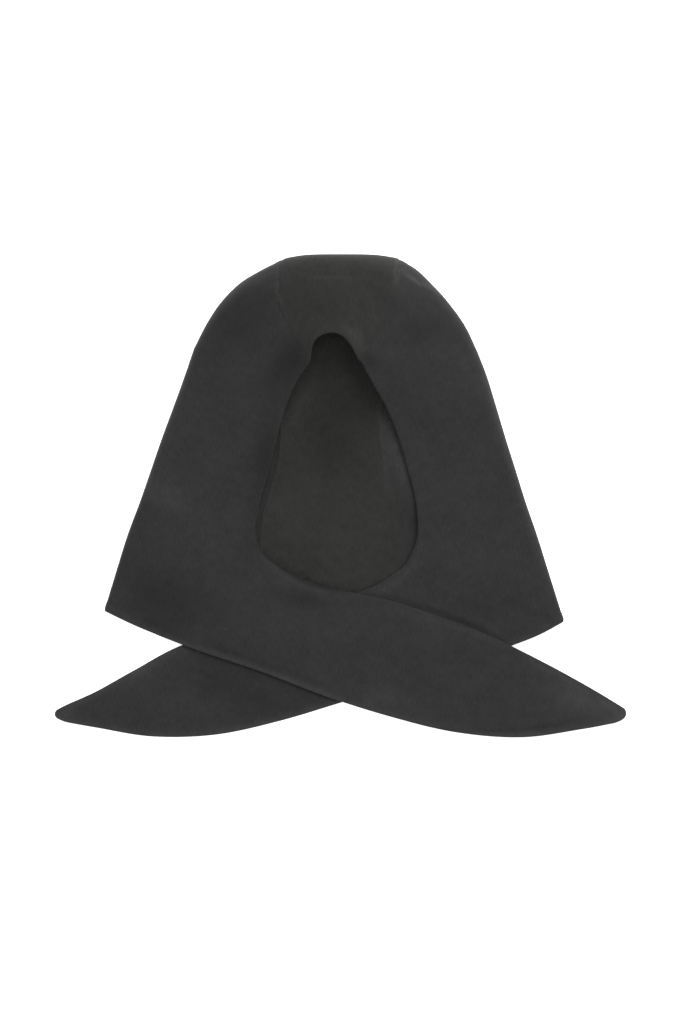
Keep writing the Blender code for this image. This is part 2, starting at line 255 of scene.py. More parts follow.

# Creases and rolled edges along lines of the photo, for each piece and layer: half width in pixels, lift
# in millimetres or share of the tone, and the line's places. "front" and "back" move the cloth, "skin"
# only its outer face, and "tone" and "inside" paint shadows beside edges and highlights on rolled edges
# and ridges into the colour of the outer and the inner face
creases = {
    ("left_hood", "front"): [
        (7.0, -2.4, [(254, 545), (275, 562), (300, 577), (325, 588), (350, 598)]),
    ],
    ("right_hood", "front"): [
        (7.0, -1.6, [(368, 592), (385, 585), (400, 574), (410, 558), (416, 538)]),
    ],
    ("right_hood", "skin"): [
        (2.2, -0.8, [(362, 592), (400, 600), (435, 611), (475, 627), (512, 643)]),
        (2.4, 0.8, rightCrownRidge),
    ],
    ("right_hood", "back"): [
        (26.0, 5.5, [(378, 395), (392, 425), (404, 460), (414, 495), (420, 525)]),
    ],
    # painted shadows and painted highlights in the outer face's colour
    ("left_hood", "tone"): [
        (3.0, 0.12, [(253, 551), (270, 567), (295, 583), (325, 594), (358, 601)]),
        (2.2, -0.42, [(256, 540), (265, 552), (292, 575), (325, 588), (366, 594)]),
        (3.2, 0.20, [(345, 602), (400, 611), (440, 622), (480, 636), (514, 651)]),
        (4.5, 0.36, [(506, 647), (545, 668), (580, 688), (608, 704), (626, 714)]),
        (2.6, -0.34, [(378, 711), (425, 726), (480, 730), (540, 727), (606, 714)]),
        (2.8, -0.26, [(187, 636), (240, 655), (300, 677), (337, 690)]),
        (2.0, 0.04, [(186, 642), (240, 662), (300, 684), (341, 700)]),
        (4.5, -0.22, [(140, 616), (163, 629), (190, 641)]),
        (6.0, -0.34, [(234, 288), (221, 304), (208, 324), (196, 349), (180, 392)]),
        (1.8, -0.34, [(279, 269), (262, 276), (245, 288)]),
        (2.0, 0.34, leftCrownSeam),
    ],
    # painted shadows and painted highlights in the outer face's colour
    ("right_hood", "tone"): [
        (5.5, 0.60, [(477, 350), (494, 407), (514, 471), (535, 535), (564, 634)]),
        (4.5, 0.46, [(182, 646), (145, 663), (105, 686), (75, 704), (56, 714)]),
        (5.0, -0.12, [(184, 650), (240, 670), (300, 693), (341, 708)]),
        (3.0, -0.26, [(352, 592), (400, 602), (440, 613), (480, 628), (516, 645)]),
        (3.2, 0.26, [(362, 598), (382, 591), (400, 580), (414, 563), (421, 534)]),
        (1.6, 1.35, rightCrownRidge),
        (4.2, -0.70, [(396, 258), (409, 270), (425, 283), (448, 301)]),
        (2.0, 0.40, [(400, 250), (398, 264), (397, 278), (395, 296)]),
    ],
    # painted shadows and painted highlights in the outer face's colour
    ("crown_gusset", "tone"): [
        (2.0, 0.50, [(396, 250), (396, 264), (395, 278), (394, 296)]),
        (2.0, 0.34, leftCrownSeam),
        (6.0, 0.22, [(338, 325), (352, 334), (360, 346), (369, 362)]),
    ],
    # painted shade and painted light in the inner face's colour
    ("crown_gusset", "inside"): [
        (3.4, -0.42, [(260, 546), (280, 563), (300, 576), (325, 587), (356, 594)]),
        (4.0, -0.42, [(362, 591), (386, 584), (400, 574)]),
        (11.0, 0.55, [(352, 340), (366, 372), (382, 402), (394, 432), (406, 468)]),
        (1.8, 0.50, rightBackSeam),
    ],
    # painted shade and painted light in the inner face's colour
    ("right_hood", "inside"): [
        (4.0, -0.42, [(384, 586), (398, 577), (409, 561)]),
        (11.0, 0.80, [(368, 372), (382, 402), (394, 432), (404, 462), (412, 492)]),
        (1.8, 0.50, rightBackSeam),
    ],
}
creaseLine = {"points": 61, "endPoints": 16}    # places along each line, and how many fade at an end


def smoothRows(rows, shares):
    # values at shares of a table's length, on a smooth curve through its rows
    table = np.array(rows, float)
    last = len(table) - 1
    place = np.clip(np.asarray(shares, float), 0, 1) * last
    start = np.minimum(place.astype(int), last - 1)
    part = (place - start)[:, None]
    before = table[np.maximum(start - 1, 0)]
    here = table[start]
    there = table[start + 1]
    after = table[np.minimum(start + 2, last)]
    leave = np.where((start == 0)[:, None], there - here, (there - before) / 2)
    arrive = np.where((start == last - 1)[:, None], there - here, (after - here) / 2)
    return (
        here * (2 * part**3 - 3 * part**2 + 1)
        + leave * (part**3 - 2 * part**2 + part)
        + there * (3 * part**2 - 2 * part**3)
        + arrive * (part**3 - part**2)
    )


def easing(values):
    values = np.clip(values, 0, 1)
    return values * values * (3 - 2 * values)


def rowShares(count, length, startFine, endFine):
    # shares of a run of cuts, drawn finer towards an edge; length is the run in millimetres
    fine = np.array(mesh["edgeSteps"]) / length
    even = np.linspace(0, 1, count + 1)
    start = fine if startFine else np.array([0.0])
    end = 1 - fine[::-1] if endFine else np.array([1.0])
    gap = mesh["evenGap"] / count
    middle = even[(even > start[-1] + gap) & (even < end[0] - gap)]
    return np.concatenate([start, middle, end])


def planPoints(sign, out, down):
    return np.stack([sign * out * hood["hemHalf"], -down * hood["bodyLength"]], axis=1)


def waves(points, size, seed):
    # smooth noise from -1 to 1 at plan points; size is in metres
    return np.array([
        noise.noise(Vector((x / size, y / size, seed))) for x, y in points
    ])


def fromPhoto(places):
    # plan points of places of the photo, each a column and a row
    pixel = hood["metresPerPixel"]
    return (np.array(places, float) - (hood["middlePixel"], hood["crownPixel"])) * (pixel, -pixel)


def formsAt(points, forms):
    # lift of soft rises and dents at plan points
    pixel = hood["metresPerPixel"]
    lift = np.zeros(len(points))
    for column, row, long, short, turn, height in forms:
        x, y = (points - fromPhoto((column, row))).T
        angle = math.radians(turn)
        along = (x * math.cos(angle) + y * math.sin(angle)) / (long * pixel)
        over = (y * math.cos(angle) - x * math.sin(angle)) / (short * pixel)
        lift += height * 0.001 * np.exp(-along**2 - over**2)
    return lift


def creaseLift(points, name, layer):
    # lift of one piece's creases at plan points, fading out at the ends of each line
    shares = np.linspace(0, 1, creaseLine["points"])
    last = creaseLine["points"] - 1
    lift = np.zeros(len(points))
    for halfWidth, height, places in creases.get((name, layer), []):
        line = fromPhoto(smoothRows(places, shares))
        gaps = np.linalg.norm(points[:, None, :2] - line[None], axis=2)
        nearest = gaps.argmin(axis=1)
        ends = easing(np.minimum(nearest, last - nearest) / creaseLine["endPoints"])
        wide = halfWidth * hood["metresPerPixel"]
        lift += height * 0.001 * np.exp(-(gaps.min(axis=1) / wide) ** 2) * ends
    return lift


def panelForms(points):
    # the crown's seam stays where the gusset turns over it
    return formsAt(points, frontForms) * easing(-points[:, 1] / relief["crownFade"])


def panelBody(sign, crown, face):
    # middle surface of a side panel, from its front edge over the fold to the back seam
    crownShares = rowShares(mesh["crownRows"], mesh["crownRun"], True, True)
    faceShares = rowShares(mesh["faceRows"], mesh["faceRun"], False, True)
    cuts = np.concatenate([smoothRows(crown, crownShares), smoothRows(face, faceShares)[1:]])
    foreheadRow = len(crownShares) - 1
    middle = hood["wall"] / 2
    edge = planPoints(sign, cuts[:, 0], cuts[:, 1])
    fold = planPoints(sign, cuts[:, 3], cuts[:, 4])
    seam = planPoints(sign, cuts[:, 6], cuts[:, 7])
    inward = (edge + seam) / 2 - fold
    fold = fold + inward / np.linalg.norm(inward, axis=1)[:, None] * middle
    frontLength = np.linalg.norm(edge - fold, axis=1)
    backLength = np.linalg.norm(seam - fold, axis=1)
    bend = np.minimum(np.minimum(cuts[:, 5] * hood["noseRadius"], frontLength), backLength)
    centre = middle + bend
    rise = cuts[:, 2] * hood["crownHeight"] - middle - centre - bend
    edgeSteps = np.array(mesh["edgeSteps"]) / 1000
    turns = np.linspace(math.pi / 2, 0, len(mesh["lowEdgeSteps"]))
    rows = []
    for row in range(len(cuts)):
        flat = frontLength[row] - bend[row]
        scale = min(1.0, mesh["edgeShare"] * flat / edgeSteps[-1]) if flat > 0 else 0
        fine = edgeSteps * scale
        away = np.concatenate([
            frontLength[row] - fine,
            np.linspace(frontLength[row] - fine[-1], bend[row], mesh["flatColumns"] + 1)[1:],
            bend[row] * (1 - np.cos(turns))[1:],
        ])
        high = np.concatenate([
            np.full(len(fine) + mesh["flatColumns"], centre[row] + bend[row]),
            centre[row] + bend[row] * np.sin(turns)[1:],
        ])
        share = np.clip(away / frontLength[row], 0, 1)
        high = high + rise[row] * (1 - (1 - share) ** hood["slopePower"])
        place = fold[row] + (edge[row] - fold[row]) * share[:, None]
        front = np.column_stack([place, high])
        backFlat = backLength[row] - bend[row]
        backFine = edgeSteps * min(1.0, mesh["edgeShare"] * backFlat / edgeSteps[-1])
        away = np.concatenate([
            bend[row] * (1 - np.cos(turns[::-1]))[1:],
            np.linspace(bend[row], backLength[row] - backFine[-1], mesh["backColumns"] + 1)[1:],
            (backLength[row] - backFine[::-1])[1:],
        ])
        high = np.concatenate([
            centre[row] - bend[row] * np.sin(turns[::-1])[1:],
            np.full(mesh["backColumns"] + len(backFine) - 1, middle),
        ])
        place = fold[row] + (seam[row] - fold[row]) * (away / backLength[row])[:, None]
        rows.append(np.concatenate([front, np.column_stack([place, high])]))
    return np.array(rows), foreheadRow


def foldColumn():
    return len(mesh["edgeSteps"]) + mesh["flatColumns"] + len(mesh["lowEdgeSteps"]) - 2


def tailPlan(sign, tail, root):
    # plan of a tail's rows after its root, which is the front half of the body's last row
    upperRoot = root[0, :2]
    lowerRoot = root[-1, :2]
    tip = lowerRoot + np.array((-sign * tail["reach"], -tail["drop"]))
    rootShares = np.linalg.norm(root[:, :2] - upperRoot, axis=1)
    rootShares = rootShares / rootShares[-1]
    shares = rowShares(mesh["tailRows"], mesh["tailRun"], False, True)[1:]
    cuts = smoothRows(tail["cuts"], shares)
    tipRun = np.linalg.norm(tip - lowerRoot)
    upper = upperRoot + (tip - upperRoot) * cuts[:, :2]
    lower = lowerRoot + (tip - lowerRoot) * cuts[:, 2:]
    rows = []
    for row in range(len(shares)):
        toTip = (1 - shares[row]) * tipRun
        done = 1 - min(1.0, toTip / tail["tipRound"])
        narrow = math.sqrt(1 - done**2) * (1 - hood["tailEnd"]) + hood["tailEnd"]
        centre = (upper[row] + lower[row]) / 2 + (tip - lowerRoot) / tipRun * tail["tipReach"] * done
        halfWidth = (upper[row] - lower[row]) / 2 * narrow
        upper[row] = centre + halfWidth
        lower[row] = centre - halfWidth
        width = np.linalg.norm(lower[row] - upper[row])
        scale = min(1.0, width / mesh["fullTail"]) / 1000
        fromUpper = np.array(mesh["edgeSteps"]) * scale
        fromLower = width - np.array(mesh["lowEdgeSteps"][::-1]) * scale
        between = np.linspace(fromUpper[-1], fromLower[0], mesh["flatColumns"] + 1)[1:-1]
        away = np.concatenate([fromUpper, between, fromLower]) / width
        evenness = easing((row + 1) / mesh["tailEvenRows"])
        away = rootShares * (1 - evenness) + away * evenness
        rows.append(upper[row] + (lower[row] - upper[row]) * away[:, None])
    return np.array(rows)


# How the tails are laid, in metres and in steps of a square grid
lay = {
    "gridStep": 0.003,
    "margin": 4,               # grid steps left round the tail
    "rootStep": 3,             # every so many of the root's places holds the cloth
    "onwardRow": 4,            # the row that shows which way the tail leaves its root
    "layerGap": 0.00055,       # clear space between two layers that lie on each other
    "backClear": 0.0003,       # the same over the back of the hood
    "sag": 0.000009,           # how fast a tail sinks between what carries it
    "rounds": 1600,
    "softRounds": 2,
    "rootFade": 0.045,
    "camber": 0.0020,          # how much higher a tail's middle lies than its edges
}


def fourAround(heights):
    # the heights below, above, left and right of each place of the grid, added
    padded = np.pad(heights, 1, mode="edge")
    return padded[:-2, 1:-1] + padded[2:, 1:-1] + padded[1:-1, :-2] + padded[1:-1, 2:]


def layTail(root, plan, supportTop):
    # heights of a tail that hangs from its root and lies on what is under it
    step = lay["gridStep"]
    low = plan.reshape(-1, 2).min(axis=0) - lay["margin"] * step
    high = plan.reshape(-1, 2).max(axis=0) + lay["margin"] * step
    xs = np.arange(low[0], high[0], step)
    ys = np.arange(low[1], high[1], step)
    middle = hood["wall"] / 2
    carried = np.array([[supportTop(x, y) for x in xs] for y in ys])
    lowest = np.where(carried > 0, carried + lay["layerGap"] + middle, middle)
    grown = lowest.copy()
    for down in (-1, 0, 1):
        for over in (-1, 0, 1):
            grown = np.maximum(grown, np.roll(lowest, (down, over), axis=(0, 1)))
    lowest = grown
    gridX, gridY = np.meshgrid(xs, ys)
    cells = np.column_stack([gridX.ravel(), gridY.ravel()])
    held = root[::lay["rootStep"]]
    gaps = np.linalg.norm(cells[:, None, :] - held[None, :, :2], axis=2)
    nearest = gaps.argmin(axis=1)
    onward = plan[lay["onwardRow"]].mean(axis=0) - root[:, :2].mean(axis=0)
    ahead = ((cells - held[nearest, :2]) * onward).sum(axis=1)
    behind = (ahead <= 0).reshape(gridX.shape)
    heldHeight = held[nearest, 2].reshape(gridX.shape)
    heights = np.where(behind, heldHeight, lowest)
    for turn in range(lay["rounds"]):
        heights = np.maximum(fourAround(heights) / 4 - lay["sag"], lowest)
        heights = np.where(behind, heldHeight, heights)
    for turn in range(lay["softRounds"]):
        heights = (fourAround(heights) + 4 * heights) / 8

    def heightAt(points):
        across = np.clip((points[..., 0] - low[0]) / step, 0, len(xs) - 1.001)
        upward = np.clip((points[..., 1] - low[1]) / step, 0, len(ys) - 1.001)
        column = across.astype(int)
        row = upward.astype(int)
        right = across - column
        up = upward - row
        return (
            heights[row, column] * (1 - right) * (1 - up)
            + heights[row, column + 1] * right * (1 - up)
            + heights[row + 1, column] * (1 - right) * up
            + heights[row + 1, column + 1] * right * up
        )

    laid = heightAt(plan)
    offset = root[:, 2] - heightAt(root[:, :2])
    travel = np.linalg.norm(plan.mean(axis=1) - root[:, :2].mean(axis=0), axis=1)
    fade = 1 - easing(travel / lay["rootFade"])
    return laid + offset[None, :] * fade[:, None]


def gridFaces(rows, columns, first=0):
    start = np.arange(rows - 1)[:, None] * columns + np.arange(columns - 1)[None, :] + first
    start = start.ravel()
    return np.stack([start, start + 1, start + columns + 1, start + columns], axis=1)


def vertexNormals(points, faces):
    normals = np.zeros_like(points)
    across = points[faces[:, 2]] - points[faces[:, 0]]
    upward = points[faces[:, 3]] - points[faces[:, 1]]
    face = np.cross(across, upward)
    size = np.linalg.norm(face, axis=1)[:, None]
    face = face / np.sqrt(np.maximum(size, 1e-12))
    for corner in range(4):
        np.add.at(normals, faces[:, corner], face)
    return normals / np.maximum(np.linalg.norm(normals, axis=1), 1e-12)[:, None]


def distanceTo(points, lines):
    # distance from each point to the nearest of some open lines, worked out some points at a time
    chunkSize = 2000
    best = np.full(len(points), farAway)
    for line in lines:
        start = line[:-1]
        way = line[1:] - start
        length = np.maximum((way**2).sum(axis=1), 1e-14)
        for first in range(0, len(points), chunkSize):
            chunk = points[first:first + chunkSize]
            offset = chunk[:, None, :] - start[None, :, :]
            share = np.clip((offset * way[None]).sum(axis=2) / length, 0, 1)
            gap = np.linalg.norm(offset - share[..., None] * way[None], axis=2).min(axis=1)
            best[first:first + chunkSize] = np.minimum(best[first:first + chunkSize], gap)
    return best


# How the cloth's edges and seams are shaped, in millimetres
edges = {
    "freeRound": 1.3,          # round of a turned edge, half the wall
    "seamRound": 2.4,
    "seamHalf": 1.16,          # half thickness left at the bottom of a seam's ditch
    "allowance": 6.5,          # width of the seam allowance that lies inside the layers
    "allowanceLift": 0.32,
    "allowanceStart": 0.6,     # how far from the edge the lift begins, and how it rises and ends
    "allowanceRise": 1.8,
    "allowanceEnd": 2.2,
    "seamOverlap": 0.15,       # how far two pieces reach into each other at a seam
    "puckerSize": 6.5,         # spacing of the small draws along a seam or edge
    "puckerLift": 0.16,
    "puckerStart": 1.5,
    "puckerReach": 9.0,
    "puckerSeed": 9.1,
    "backRidge": 0.75,         # ridge of a back seam's allowance, seen inside
    "backRidgeWide": 1.9,
    "paintedRimHighlightShare": 0.60,           # painted highlight: how much lighter the tails' lower edges are drawn
    "paintedRimHighlightWidth": 4.6,
    "sideTurn": 3,             # how soon a face that turns upright loses what only a lying one has
}


def halfThickness(free, seam):
    # half of the cloth's thickness at distances from its free edges and its seams
    half = hood["wall"] / 2
    freeShare = np.clip(free * 1000 / edges["freeRound"], 0, 1)
    seamShare = np.clip(seam * 1000 / edges["seamRound"], 0, 1)
    ditch = edges["seamHalf"] / 1000 / half
    rounded = np.sqrt(1 - (1 - freeShare) ** 2)
    pressed = ditch + (1 - ditch) * np.sqrt(1 - (1 - seamShare) ** 2)
    near = np.minimum(free, seam) * 1000
    rise = easing((near - edges["allowanceStart"]) / edges["allowanceRise"])
    lift = rise * (1 - easing((near - edges["allowance"]) / edges["allowanceEnd"]))
    return half * rounded * pressed + edges["allowanceLift"] / 1000 * lift


def sheetObject(name, points, faces, free, seam, paintedRimHighlight, border, flatPlace, material):
    # a closed sheet: its middle surface moved out and in by half its thickness, walled round
    normals = vertexNormals(points, faces)
    count = len(points)
    half = halfThickness(free, seam)
    near = np.minimum(free, seam)
    drawn = waves(points[:, :2], edges["puckerSize"] / 1000, edges["puckerSeed"])
    drawn = drawn * edges["puckerLift"] / 1000
    drawn = drawn * easing(near * 1000 / edges["puckerStart"])
    drawn = drawn * np.exp(-(near * 1000 / edges["puckerReach"]) ** 2)
    facing = easing(normals[:, 2] * edges["sideTurn"])
    skin = formsAt(points[:, :2], welts) + creaseLift(points, name, "skin")
    outer = points + normals * (half + drawn + skin * facing)[:, None]
    atBack = easing(-normals[:, 2] * edges["sideTurn"])
    ridge = edges["backRidge"] / 1000 * np.exp(-(seam * 1000 / edges["backRidgeWide"]) ** 2) * atBack
    unsewn = halfThickness(free, np.full(count, farAway))
    inner = points - normals * (half + (unsewn - half) * atBack + ridge)[:, None]
    both = np.concatenate([outer, inner])
    both[:, 2] = np.maximum(both[:, 2], 0.0)
    around = np.array(border)
    following = np.roll(around, -1)
    wall = np.stack([around, following, following + count, around + count], axis=1)
    allFaces = np.concatenate([faces, faces[:, ::-1] + count, wall])
    shape = bpy.data.meshes.new(name)
    shape.from_pydata(both.tolist(), [], allFaces.tolist())
    # painted light and shade carried in each point and multiplied into the colour
    paintedLightAndShade = shape.attributes.new("paintedLightAndShade", "FLOAT", "POINT")
    shade = formsAt(points[:, :2], paintedLightAndShadePatches) + creaseLift(points, name, "tone")
    # painted shadows and painted highlights of the outer face, with the painted highlight of the tails'
    # lower edges
    tone = 1 + shade * 1000 * facing + edges["paintedRimHighlightShare"] * paintedRimHighlight
    # painted shade and painted light of the inner face
    shade = formsAt(points[:, :2], insidePaintedLightAndShadePatches) + creaseLift(points, name, "inside")
    inside = 1 + shade * 1000 * atBack
    paintedLightAndShade.data.foreach_set("value", np.concatenate([tone, inside]).astype(np.float32))
    layer = shape.uv_layers.new(name="cloth")
    corners = np.zeros(len(shape.loops), dtype=np.int32)
    shape.loops.foreach_get("vertex_index", corners)
    layer.data.foreach_set("uv", flatPlace[corners % count].astype(np.float32).ravel())
    work = bmesh.new()
    work.from_mesh(shape)
    bmesh.ops.remove_doubles(work, verts=work.verts, dist=mesh["mergeGap"])
    bmesh.ops.dissolve_degenerate(work, edges=work.edges, dist=mesh["shortEdge"])
    volume = work.calc_volume(signed=True)
    work.to_mesh(shape)
    work.free()
    shape.shade_smooth()
    shape.materials.append(material)
    piece = bpy.data.objects.new(name, shape)
    bpy.context.scene.collection.objects.link(piece)
    print(name, len(shape.polygons), "faces, volume", round(volume * 1e6, 1), "ml")
    return piece


def flatten(body, tail, fold):
    # each point's place on the flat cloth: the front as it lies, the back opened out at the fold
    steps = np.linalg.norm(np.diff(body, axis=1), axis=2)
    run = np.concatenate([np.zeros((len(body), 1)), np.cumsum(steps, axis=1)], axis=1)
    run = run - run[:, fold:fold + 1]
    foldPlan = body[:, fold, :2]
    edgeWay = body[:, 0, :2] - foldPlan
    edgeWay = edgeWay / np.linalg.norm(edgeWay, axis=1)[:, None]
    seamWay = body[:, -1, :2] - foldPlan
    seamWay = seamWay / np.linalg.norm(seamWay, axis=1)[:, None]
    tangent = np.gradient(foldPlan, axis=0)
    tangent = tangent / np.linalg.norm(tangent, axis=1)[:, None]
    opened = 2 * (tangent * seamWay).sum(axis=1)[:, None] * tangent - seamWay
    front = foldPlan[:, None, :] - edgeWay[:, None, :] * run[:, :fold + 1, None]
    back = foldPlan[:, None, :] + opened[:, None, :] * run[:, fold + 1:, None]
    bodyFlat = np.concatenate([front, back], axis=1)
    tailFlat = tail[:, :, :2] + (bodyFlat[-1, :fold + 1] - body[-1, :fold + 1, :2])[None]
    return np.concatenate([bodyFlat.reshape(-1, 2), tailFlat.reshape(-1, 2)])


def panelSheet(name, body, tail, foreheadRow, material):
    fold = foldColumn()
    rows, columns = body.shape[:2]
    points = np.concatenate([body.reshape(-1, 3), tail.reshape(-1, 3)])
    faces = gridFaces(rows, columns)
    lastRow = (rows - 1) * columns + np.arange(fold + 1)
    firstTail = rows * columns
    join = np.stack([
        lastRow[:-1], lastRow[1:], firstTail + np.arange(1, fold + 1), firstTail + np.arange(fold)
    ], axis=1)
    faces = np.concatenate([faces, join, gridFaces(len(tail), fold + 1, firstTail)])
    front = np.zeros(len(points), bool)
    front[:rows * columns] = np.tile(np.arange(columns) <= fold, rows)
    front[rows * columns:] = True
    points[front, 2] += creaseLift(points[front], name, "front")
    outline = np.concatenate([
        body[foreheadRow:, 0], tail[:, 0], tail[-1], tail[::-1, fold], body[-1:, fold]
    ])
    hem = body[-1, fold:]
    overFold = len(mesh["lowEdgeSteps"])
    free = np.full(len(points), farAway)
    seam = np.full(len(points), farAway)
    free[front] = distanceTo(points[front], [outline])
    seam[front] = distanceTo(points[front], [body[:foreheadRow + 1, 0], body[0, :fold + overFold]])
    free[~front] = distanceTo(points[~front], [hem])
    seam[~front] = distanceTo(points[~front], [body[0, fold - overFold:], body[:, -1]])
    tailIndex = firstTail + np.arange(len(tail) * (fold + 1)).reshape(len(tail), fold + 1)
    bodyIndex = np.arange(rows * columns).reshape(rows, columns)
    border = np.concatenate([
        bodyIndex[:, 0], tailIndex[:, 0], tailIndex[-1, 1:], tailIndex[-2::-1, -1],
        bodyIndex[-1, fold:], bodyIndex[-2::-1, -1], bodyIndex[0, -2:0:-1],
    ])
    if name == "right_hood":
        faces = faces[:, ::-1]
        border = border[::-1]
    # a painted highlight along the tails' lower edges
    lowEdge = distanceTo(points, [tail[:, fold]])
    paintedRimHighlight = np.exp(-(lowEdge * 1000 / edges["paintedRimHighlightWidth"]) ** 2) * front
    flat = flatten(body, tail, fold)
    return sheetObject(name, points, faces, free, seam, paintedRimHighlight, border, flat, material)


def seamRuns(body, foreheadRow):
    # a panel's seam with the gusset: forehead corner to crown, then over it and down the back
    flatEnd = len(mesh["edgeSteps"]) + mesh["flatColumns"]
    front = np.concatenate([body[foreheadRow:0:-1, 0], body[0, :flatEnd]])
    rest = np.concatenate([body[0, flatEnd:], body[1:, -1]])
    return front, rest


def gussetSheet(name, leftBody, rightBody, foreheadRow, material):
    leftFront, leftRest = seamRuns(leftBody, foreheadRow)
    rightFront, rightRest = seamRuns(rightBody, foreheadRow)
    foreheadY = min(leftFront[0][1], rightFront[0][1])
    foldHigh = leftBody[0, foldColumn(), 2]
    topHigh = leftFront[-1][2]
    archAcross, archUp = smoothRows(foreheadArch, np.linspace(0, 1, mesh["archPoints"])).T
    overlap = edges["seamOverlap"] / 1000
    left = np.concatenate([leftFront, leftRest])
    right = np.concatenate([rightFront, rightRest])
    fine = np.array(mesh["edgeSteps"]) / 1000
    rows = []
    for number in range(len(left)):
        start = left[number] - (overlap, 0, 0)
        end = right[number] + (overlap, 0, 0)
        width = end[0] - start[0]
        between = np.linspace(fine[-1], width - fine[-1], mesh["gussetColumns"] + 1)[1:-1]
        share = np.concatenate([fine, between, (width - fine)[::-1]]) / width
        curve = 1 - (2 * share - 1) ** 4
        points = start + (end - start) * share[:, None]
        nearForehead = min(1.0, (start[1] + end[1]) / 2 / foreheadY)
        nearCrown = max(0.0, 1 - nearForehead)
        swell = nearCrown * min(1.0, max(0.0, (start[2] - foldHigh) / (topHigh - foldHigh)))
        if number < len(leftFront):
            belowNose = (start[1] - leftFront[-1, 1]) / (foreheadY - leftFront[-1, 1])
            rise = hood["foreheadRise"] * min(1.0, max(0.0, belowNose))
            points[:, 1] += rise * np.interp(share, archAcross, archUp)
            leftHigh = np.interp(points[:, 1], leftFront[:, 1], leftFront[:, 2])
            rightHigh = np.interp(points[:, 1], rightFront[:, 1], rightFront[:, 2])
            points[:, 2] = leftHigh + (rightHigh - leftHigh) * share
        else:
            # the hump of the right panel's back runs on into the gusset
            hump = creaseLift(points, "right_hood", "back")
            points[:, 2] += hump - hump[0] * (1 - share) - hump[-1] * share
        points[:, 1] += hood["crownBow"] * nearCrown * curve
        points[:, 2] += hood["gussetSwell"] * swell * curve
        rows.append(points)
    grid = np.array(rows)
    grid[:, :, 2] += gussetRelief(grid, len(leftFront))
    count, columns = grid.shape[:2]
    points = grid.reshape(-1, 3)
    faces = gridFaces(count, columns)
    free = distanceTo(points, [grid[0], grid[-1]])
    seam = distanceTo(points, [grid[:, 0], grid[:, -1]])
    index = np.arange(len(points)).reshape(count, columns)
    border = np.concatenate([
        index[:, 0], index[-1, 1:], index[-2::-1, -1], index[0, -2:0:-1]
    ])
    steps = np.linalg.norm(np.diff(grid[:, columns // 2], axis=0), axis=1)
    run = np.concatenate([[0], np.cumsum(steps)])
    flat = np.stack([grid[:, :, 0], np.tile(run[:, None], (1, columns))], axis=2)
    noPaintedRimHighlight = np.zeros(len(points))
    return sheetObject(name, points, faces, free, seam, noPaintedRimHighlight, border, flat.reshape(-1, 2), material)


# Slight waves that laid cloth keeps: sizes and lifts in metres, seeds, and over how many rows, columns
# or metres they and the soft forms fade
relief = {
    "panelWide": 0.075,
    "tailWide": 0.070,
    "wideSeed": 1.3,
    "frontWide": 0.0008,
    "backWide": 0.0005,
    "tailWideLift": 0.0009,
    "tailWideBase": 0.15,
    "small": 0.022,
    "smallSeed": 7.7,
    "frontSmall": 0.00018,
    "backSmall": 0.00015,
    "tailSmall": 0.00025,
    "gussetWave": 0.045,
    "gussetSeed": 4.2,
    "gussetFront": 0.0006,
    "gussetBack": 0.0004,
    "gussetRows": 30,
    "pastCrownRows": 10,
    "crownRows": 24,
    "crownFade": 0.030,
    "foldColumns": 6,
    "backColumns": 8,
    "rootFade": 0.03,
    "camberShare": 0.026,      # a narrow tail's camber as a share of its width
}


def gussetRelief(grid, frontRows):
    # slight waves between the seams, and in front the forms that cross it
    count, columns = grid.shape[:2]
    share = np.linspace(0, 1, columns)
    between = 1 - (2 * share - 1) ** 6
    points = grid.reshape(-1, 3)[:, :2]
    wave = waves(points, relief["gussetWave"], relief["gussetSeed"]).reshape(count, columns)
    forms = panelForms(points).reshape(count, columns)
    across = (grid[:, :, 0] - grid[:, :1, 0]) / (grid[:, -1:, 0] - grid[:, :1, 0])
    atSeams = forms[:, :1] + (forms[:, -1:] - forms[:, :1]) * across
    past = np.arange(count) - frontRows
    toCrown = easing(-past / relief["gussetRows"])[:, None]
    pastCrown = easing((past - relief["pastCrownRows"]) / relief["gussetRows"])[:, None]
    lift = (wave * relief["gussetFront"] * between + forms - atSeams) * toCrown
    return lift + np.maximum(wave, 0) * relief["gussetBack"] * between * pastCrown


def panelRelief(body, sign):
    # soft forms and slight waves of a panel's front, and smaller ones of its back
    rows, columns = body.shape[:2]
    fold = foldColumn()
    points = body.reshape(-1, 3)[:, :2]
    wide = waves(points, relief["panelWide"], relief["wideSeed"] + sign).reshape(rows, columns)
    small = waves(points, relief["small"], relief["smallSeed"] + sign).reshape(rows, columns)
    forms = panelForms(points).reshape(rows, columns)
    column = np.arange(columns)
    turning = len(mesh["lowEdgeSteps"])
    onFront = easing((fold - column) / (turning + relief["foldColumns"]))
    onBack = easing((column - fold - turning) / relief["backColumns"])
    lift = (wide * relief["frontWide"] + small * relief["frontSmall"] + forms) * onFront[None, :]
    hump = creaseLift(points, "right_hood" if sign > 0 else "left_hood", "back").reshape(rows, columns)
    backLift = np.maximum(wide, 0) * relief["backWide"] + np.maximum(small, 0) * relief["backSmall"]
    lift += (backLift + hump) * onBack[None, :]
    nearCrown = easing(np.arange(rows) / relief["crownRows"])
    return lift * nearCrown[:, None]


